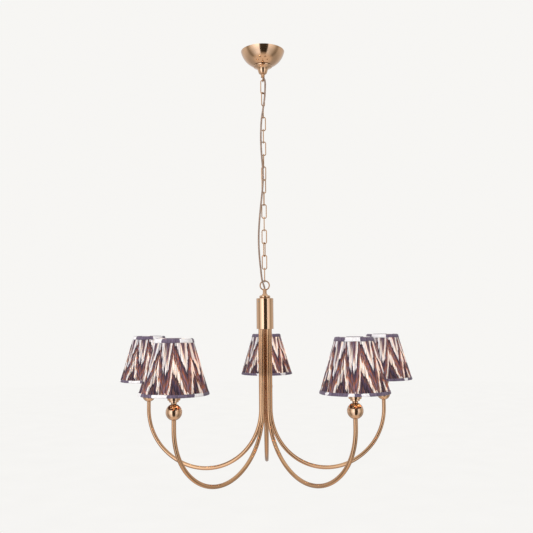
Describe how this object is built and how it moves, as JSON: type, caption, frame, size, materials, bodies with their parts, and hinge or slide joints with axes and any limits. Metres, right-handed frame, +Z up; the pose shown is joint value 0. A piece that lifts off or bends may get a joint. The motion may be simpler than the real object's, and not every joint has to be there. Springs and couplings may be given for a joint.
{
  "type": "five-arm chain pendant chandelier",
  "caption": "Chain-hung chandelier: brass ceiling cup, long-link chain with flex, hub sleeve, bowed tube arms with balls, and lift-off pleated candle shades.",
  "frame": {"origin": "centre of the ceiling bracket's top face, in the ceiling plane, on the lamp's vertical axis", "axes": "+Z up out of the ceiling plane; +Y along arm 1; +X to the right when looking along +Y"},
  "size_m": [0.7776, 0.747, 1.0889],
  "materials": {
    "satin_brass": "satin",
    "chain_brass": "satin",
    "plated_steel": "plated",
    "white_plastic": "moulded",
    "holder_plastic": "moulded",
    "flex_cover": "satin sheath",
    "bulb_opal": "opal",
    "frame_wire": "white enamel",
    "pleated_cloth": "pleated ikat print"
  },
  "bodies": {
    "canopy": {"ceiling_bracket": "plated_steel", "hollow_rod": "plated_steel", "ceiling_cup": "satin_brass", "bell_holder": "satin_brass", "terminal_block": "white_plastic", "canopy_loop": "satin_brass"},
    "upper_link": {"chain_link_01": "chain_brass"},
    "chain": {"chain_link_02": "chain_brass", "chain_link_03": "chain_brass", "chain_link_04": "chain_brass", "chain_link_05": "chain_brass", "chain_link_06": "chain_brass", "chain_link_07": "chain_brass", "chain_link_08": "chain_brass", "chain_link_09": "chain_brass", "chain_link_10": "chain_brass", "chain_link_11": "chain_brass", "chain_link_12": "chain_brass", "chain_link_13": "chain_brass", "chain_link_14": "chain_brass", "chain_link_15": "chain_brass", "chain_link_16": "chain_brass", "flex": "flex_cover"},
    "lamp": {"hub_loop": "satin_brass", "hub_cap": "satin_brass", "hub_sleeve": "satin_brass", "hub_core": "plated_steel", "hub_base": "satin_brass", "grub_screws": "plated_steel", "bulbs": "bulb_opal", "arm_1": "satin_brass", "ball_1": "satin_brass", "candle_cup_1": "satin_brass", "lampholder_1": "holder_plastic", "arm_2": "satin_brass", "ball_2": "satin_brass", "candle_cup_2": "satin_brass", "lampholder_2": "holder_plastic", "arm_3": "satin_brass", "ball_3": "satin_brass", "candle_cup_3": "satin_brass", "lampholder_3": "holder_plastic", "arm_4": "satin_brass", "ball_4": "satin_brass", "candle_cup_4": "satin_brass", "lampholder_4": "holder_plastic", "arm_5": "satin_brass", "ball_5": "satin_brass", "candle_cup_5": "satin_brass", "lampholder_5": "holder_plastic"},
    "shade_unit_1": {"shade_1": "pleated_cloth", "shade_frame_1": "frame_wire"},
    "shade_unit_2": {"shade_2": "pleated_cloth", "shade_frame_2": "frame_wire"},
    "shade_unit_3": {"shade_3": "pleated_cloth", "shade_frame_3": "frame_wire"},
    "shade_unit_4": {"shade_4": "pleated_cloth", "shade_frame_4": "frame_wire"},
    "shade_unit_5": {"shade_5": "pleated_cloth", "shade_frame_5": "frame_wire"}
  },
  "joints": [
    {"name": "chain_swing_sideways", "type": "hinge", "parent": "canopy", "child": "upper_link", "pos_m": [0, 0, -0.07965], "axis": [0, 1, 0], "range_deg": [-10, 10], "deforming": ["flex"]},
    {"name": "chain_swing_forward", "type": "hinge", "parent": "upper_link", "child": "chain", "pos_m": [0, 0, -0.1123], "axis": [1, 0, 0], "range_deg": [-10, 10], "deforming": ["flex"]},
    {"name": "lamp_rock", "type": "hinge", "parent": "chain", "child": "lamp", "pos_m": [0, 0, -0.6073], "axis": [0, 1, 0], "range_deg": [-10, 10], "deforming": ["flex"]},
    {"name": "shade_1_lift_off", "type": "slide", "parent": "lamp", "child": "shade_unit_1", "axis": [0, 0, 1], "range_m": [0, 0.125]},
    {"name": "shade_2_lift_off", "type": "slide", "parent": "lamp", "child": "shade_unit_2", "axis": [0, 0, 1], "range_m": [0, 0.125]},
    {"name": "shade_3_lift_off", "type": "slide", "parent": "lamp", "child": "shade_unit_3", "axis": [0, 0, 1], "range_m": [0, 0.125]},
    {"name": "shade_4_lift_off", "type": "slide", "parent": "lamp", "child": "shade_unit_4", "axis": [0, 0, 1], "range_m": [0, 0.125]},
    {"name": "shade_5_lift_off", "type": "slide", "parent": "lamp", "child": "shade_unit_5", "axis": [0, 0, 1], "range_m": [0, 0.125]}
  ]
}
